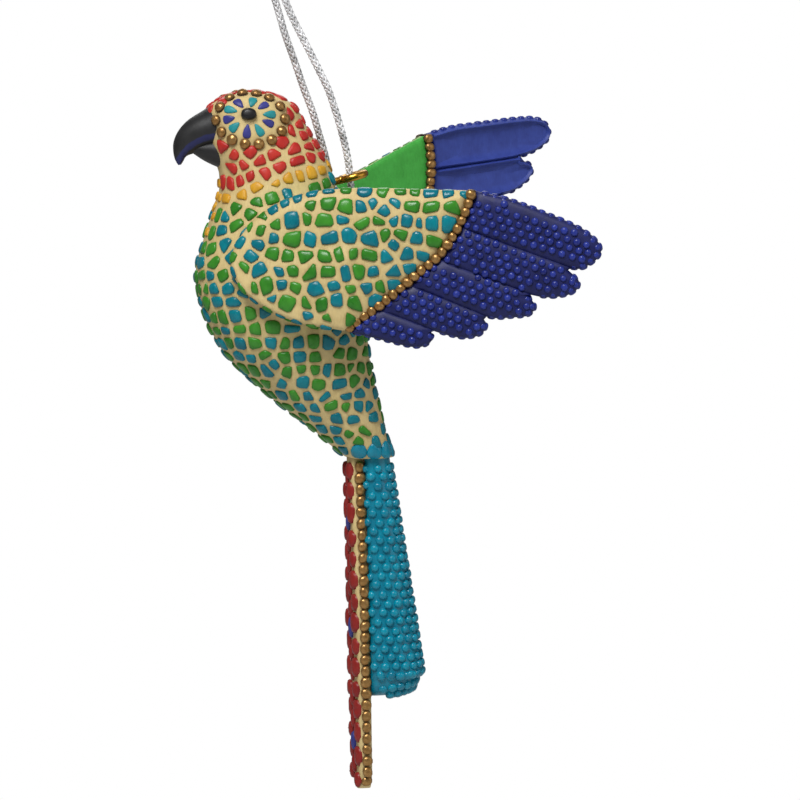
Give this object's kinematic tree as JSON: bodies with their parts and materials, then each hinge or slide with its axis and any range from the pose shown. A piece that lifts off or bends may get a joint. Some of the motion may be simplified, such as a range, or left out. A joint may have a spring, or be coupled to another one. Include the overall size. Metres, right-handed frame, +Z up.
{
  "type": "hanging parrot ornament",
  "caption": "Painted clay parrot with spread wings and a long tail, covered in mosaic chips, hanging by a screw eye from a knotted silver cord loop.",
  "frame": {"origin": "where the two strands of the cord loop meet, just under the knot, which is where the loop hangs", "axes": "+Z up, -X the way the bird faces, -Y its left side"},
  "size_m": [0.0767, 0.063, 0.1541],
  "materials": {
    "clay_mosaic": "matt cream clay set with satin painted chips",
    "beak_black": "satin black paint",
    "eye_black": "gloss black paint",
    "wing_green": "satin green and teal paint",
    "feather_blue": "satin ultramarine paint",
    "gold_beads": "satin antique gold paint",
    "tail_mosaic": "matt cream clay with red and blue chips",
    "tail_teal": "satin teal paint",
    "brass_wire": "bright drawn wire",
    "steel_wire": "plain drawn wire",
    "silver_cord": "metallic silver braid"
  },
  "bodies": {
    "cord_loop": {"hanging_cord": "silver_cord", "cord_knot": "silver_cord"},
    "bird": {"body": "clay_mosaic", "left_eye": "eye_black", "left_eye_bead_01": "gold_beads", "left_eye_bead_02": "gold_beads", "left_eye_bead_03": "gold_beads", "left_eye_bead_04": "gold_beads", "left_eye_bead_05": "gold_beads", "left_eye_bead_06": "gold_beads", "left_eye_bead_07": "gold_beads", "left_eye_bead_08": "gold_beads", "left_eye_bead_09": "gold_beads", "left_eye_bead_10": "gold_beads", "left_eye_bead_11": "gold_beads", "left_eye_bead_12": "gold_beads", "left_eye_bead_13": "gold_beads", "left_eye_bead_14": "gold_beads", "left_feather_1": "feather_blue", "left_feather_2": "feather_blue", "left_feather_3": "feather_blue", "left_feather_4": "feather_blue", "left_feather_5": "feather_blue", "left_tail_beads": "gold_beads", "left_wing_beads": "gold_beads", "left_wing_coverts": "wing_green", "left_wing_inner_beads": "gold_beads", "left_wing_pin": "steel_wire", "long_tail": "tail_mosaic", "lower_beak": "beak_black", "right_eye": "eye_black", "right_eye_bead_01": "gold_beads", "right_eye_bead_02": "gold_beads", "right_eye_bead_03": "gold_beads", "right_eye_bead_04": "gold_beads", "right_eye_bead_05": "gold_beads", "right_eye_bead_06": "gold_beads", "right_eye_bead_07": "gold_beads", "right_eye_bead_08": "gold_beads", "right_eye_bead_09": "gold_beads", "right_eye_bead_10": "gold_beads", "right_eye_bead_11": "gold_beads", "right_eye_bead_12": "gold_beads", "right_eye_bead_13": "gold_beads", "right_eye_bead_14": "gold_beads", "right_feather_1": "feather_blue", "right_feather_2": "feather_blue", "right_feather_3": "feather_blue", "right_feather_4": "feather_blue", "right_feather_5": "feather_blue", "right_tail_beads": "gold_beads", "right_wing_beads": "gold_beads", "right_wing_coverts": "wing_green", "right_wing_inner_beads": "gold_beads", "right_wing_pin": "steel_wire", "screw_eye": "brass_wire", "tail_lobe": "tail_teal", "tail_wire": "steel_wire", "upper_beak": "beak_black"}
  },
  "joints": [
    {"name": "bird_swing", "type": "hinge", "parent": "cord_loop", "child": "bird", "pos_m": [0.01262, 0, -0.0346], "axis": [0, -1, 0], "range_deg": [-8, 12]}
  ]
}
